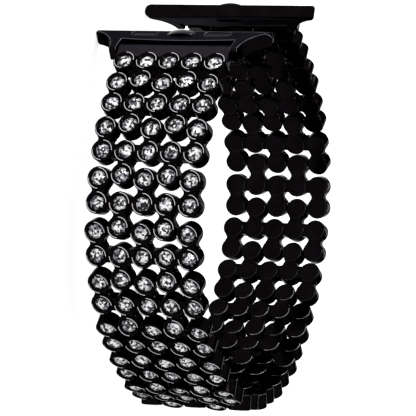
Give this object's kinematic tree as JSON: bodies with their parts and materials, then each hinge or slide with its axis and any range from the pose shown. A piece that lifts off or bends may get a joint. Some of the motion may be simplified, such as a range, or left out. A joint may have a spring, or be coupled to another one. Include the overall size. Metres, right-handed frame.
{
  "type": "link watch bracelet",
  "caption": "Watch bracelet of pinned cast links covered in round stone cups, with a slide-in adapter pivoting at each end.",
  "frame": {"origin": "under the middle of the loop, on the surface that the bracelet lies on", "axes": "+Z along the hinge pins, across the band; +Y from the middle of the band towards the opening for the watch; -X is the front half of the loop"},
  "size_m": [0.0632, 0.0608, 0.0275],
  "materials": {
    "black_plating": "glossy black plating over cast alloy",
    "rhinestone": "cut clear glass, foil backed",
    "satin_black": "satin black coating with a slate-blue sheen",
    "pin_steel": "darkened steel",
    "latch_steel": "polished steel",
    "pad_rubber": "smooth black rubber"
  },
  "bodies": {
    "casting_01": {"link_01": "black_plating", "stones_01": "rhinestone"},
    "casting_02": {"link_02": "black_plating", "stones_02": "rhinestone"},
    "casting_03": {"link_03": "black_plating", "stones_03": "rhinestone"},
    "casting_04": {"link_04": "black_plating", "stones_04": "rhinestone"},
    "casting_05": {"link_05": "black_plating", "stones_05": "rhinestone"},
    "casting_06": {"link_06": "black_plating", "stones_06": "rhinestone"},
    "casting_07": {"link_07": "black_plating", "stones_07": "rhinestone"},
    "casting_08": {"link_08": "black_plating", "stones_08": "rhinestone"},
    "casting_09": {"link_09": "black_plating", "stones_09": "rhinestone"},
    "casting_10": {"link_10": "black_plating", "stones_10": "rhinestone"},
    "casting_11": {"link_11": "black_plating", "stones_11": "rhinestone"},
    "casting_12": {"link_12": "black_plating", "stones_12": "rhinestone"},
    "casting_13": {"link_13": "black_plating", "stones_13": "rhinestone"},
    "casting_14": {"link_14": "black_plating", "stones_14": "rhinestone"},
    "casting_15": {"link_15": "black_plating", "stones_15": "rhinestone"},
    "casting_16": {"link_16": "black_plating", "stones_16": "rhinestone"},
    "casting_17": {"link_17": "black_plating", "stones_17": "rhinestone"},
    "casting_18": {"link_18": "black_plating", "stones_18": "rhinestone"},
    "casting_19": {"link_19": "black_plating", "stones_19": "rhinestone"},
    "casting_20": {"link_20": "black_plating", "stones_20": "rhinestone"},
    "casting_21": {"link_21": "black_plating", "stones_21": "rhinestone"},
    "casting_22": {"link_22": "black_plating", "stones_22": "rhinestone"},
    "adapter_a_body": {"adapter_a": "satin_black", "pivot_bar_a": "pin_steel", "latch_spring_a": "latch_steel", "pads_a": "pad_rubber"},
    "latch_a_body": {"latch_a": "latch_steel"},
    "adapter_b_body": {"adapter_b": "satin_black", "pivot_bar_b": "pin_steel", "latch_spring_b": "latch_steel", "pads_b": "pad_rubber"},
    "latch_b_body": {"latch_b": "latch_steel"}
  },
  "joints": [
    {"name": "hinge_01", "type": "hinge", "parent": "casting_02", "child": "casting_01", "pos_m": [-0.02009, 0.02147, 0.01375], "axis": [0, 0, 1], "range_deg": [-16, 20]},
    {"name": "hinge_02", "type": "hinge", "parent": "casting_03", "child": "casting_02", "pos_m": [-0.02485, 0.0158, 0.01375], "axis": [0, 0, 1], "range_deg": [-11, 25]},
    {"name": "hinge_03", "type": "hinge", "parent": "casting_04", "child": "casting_03", "pos_m": [-0.02821, 0.00921, 0.01375], "axis": [0, 0, 1], "range_deg": [-12, 24]},
    {"name": "hinge_04", "type": "hinge", "parent": "casting_05", "child": "casting_04", "pos_m": [-0.03012, 0.00206, 0.01375], "axis": [0, 0, 1], "range_deg": [-5, 31]},
    {"name": "hinge_05", "type": "hinge", "parent": "casting_06", "child": "casting_05", "pos_m": [-0.02961, -0.00532, 0.01375], "axis": [0, 0, 1], "range_deg": [-10, 26]},
    {"name": "hinge_06", "type": "hinge", "parent": "casting_07", "child": "casting_06", "pos_m": [-0.02732, -0.01236, 0.01375], "axis": [0, 0, 1], "range_deg": [-4, 32]},
    {"name": "hinge_07", "type": "hinge", "parent": "casting_08", "child": "casting_07", "pos_m": [-0.02276, -0.01819, 0.01375], "axis": [0, 0, 1], "range_deg": [-17, 19]},
    {"name": "hinge_08", "type": "hinge", "parent": "casting_09", "child": "casting_08", "pos_m": [-0.01753, -0.02343, 0.01375], "axis": [0, 0, 1], "range_deg": [-11, 25]},
    {"name": "hinge_09", "type": "hinge", "parent": "casting_10", "child": "casting_09", "pos_m": [-0.01126, -0.02735, 0.01375], "axis": [0, 0, 1], "range_deg": [-4, 32]},
    {"name": "hinge_10", "type": "hinge", "parent": "casting_11", "child": "casting_10", "pos_m": [-0.00402, -0.02889, 0.01375], "axis": [0, 0, 1], "range_deg": [-12, 24]},
    {"name": "hinge_11", "type": "hinge", "parent": "casting_11", "child": "casting_12", "pos_m": [0.00338, -0.02889, 0.01375], "axis": [0, 0, 1], "range_deg": [-27, 9]},
    {"name": "hinge_12", "type": "hinge", "parent": "casting_12", "child": "casting_13", "pos_m": [0.01053, -0.02697, 0.01375], "axis": [0, 0, 1], "range_deg": [-27, 9]},
    {"name": "hinge_13", "type": "hinge", "parent": "casting_13", "child": "casting_14", "pos_m": [0.01694, -0.02327, 0.01375], "axis": [0, 0, 1], "range_deg": [-25, 11]},
    {"name": "hinge_14", "type": "hinge", "parent": "casting_14", "child": "casting_15", "pos_m": [0.02235, -0.01822, 0.01375], "axis": [0, 0, 1], "range_deg": [-24, 12]},
    {"name": "hinge_15", "type": "hinge", "parent": "casting_15", "child": "casting_16", "pos_m": [0.02659, -0.01216, 0.01375], "axis": [0, 0, 1], "range_deg": [-25, 11]},
    {"name": "hinge_16", "type": "hinge", "parent": "casting_16", "child": "casting_17", "pos_m": [0.02937, -0.0053, 0.01375], "axis": [0, 0, 1], "range_deg": [-28, 8]},
    {"name": "hinge_17", "type": "hinge", "parent": "casting_17", "child": "casting_18", "pos_m": [0.03014, 0.00206, 0.01375], "axis": [0, 0, 1], "range_deg": [-32, 4]},
    {"name": "hinge_18", "type": "hinge", "parent": "casting_18", "child": "casting_19", "pos_m": [0.02835, 0.00924, 0.01375], "axis": [0, 0, 1], "range_deg": [-27, 9]},
    {"name": "hinge_19", "type": "hinge", "parent": "casting_19", "child": "casting_20", "pos_m": [0.02476, 0.01571, 0.01375], "axis": [0, 0, 1], "range_deg": [-23, 13]},
    {"name": "hinge_20", "type": "hinge", "parent": "casting_20", "child": "casting_21", "pos_m": [0.02001, 0.02138, 0.01375], "axis": [0, 0, 1], "range_deg": [-22, 14]},
    {"name": "hinge_21", "type": "hinge", "parent": "casting_21", "child": "casting_22", "pos_m": [0.01434, 0.02614, 0.01375], "axis": [0, 0, 1], "range_deg": [-29, 7]},
    {"name": "adapter_a_hinge", "type": "hinge", "parent": "casting_01", "child": "adapter_a_body", "pos_m": [-0.01519, 0.02588, 0.01375], "axis": [0, 0, 1], "range_deg": [-20, 30]},
    {"name": "adapter_b_hinge", "type": "hinge", "parent": "casting_22", "child": "adapter_b_body", "pos_m": [0.01146, 0.02736, 0.01375], "axis": [0, 0, 1], "range_deg": [-6, 44]},
    {"name": "latch_a_press", "type": "slide", "parent": "adapter_a_body", "child": "latch_a_body", "axis": [0.3746, -0.9272, 0], "range_m": [0, 0.0005], "stiffness_N_per_m": 200, "springref_m": -0.001},
    {"name": "latch_b_press", "type": "slide", "parent": "adapter_b_body", "child": "latch_b_body", "axis": [-0.454, -0.891, 0], "range_m": [0, 0.0005], "stiffness_N_per_m": 200, "springref_m": -0.001}
  ]
}
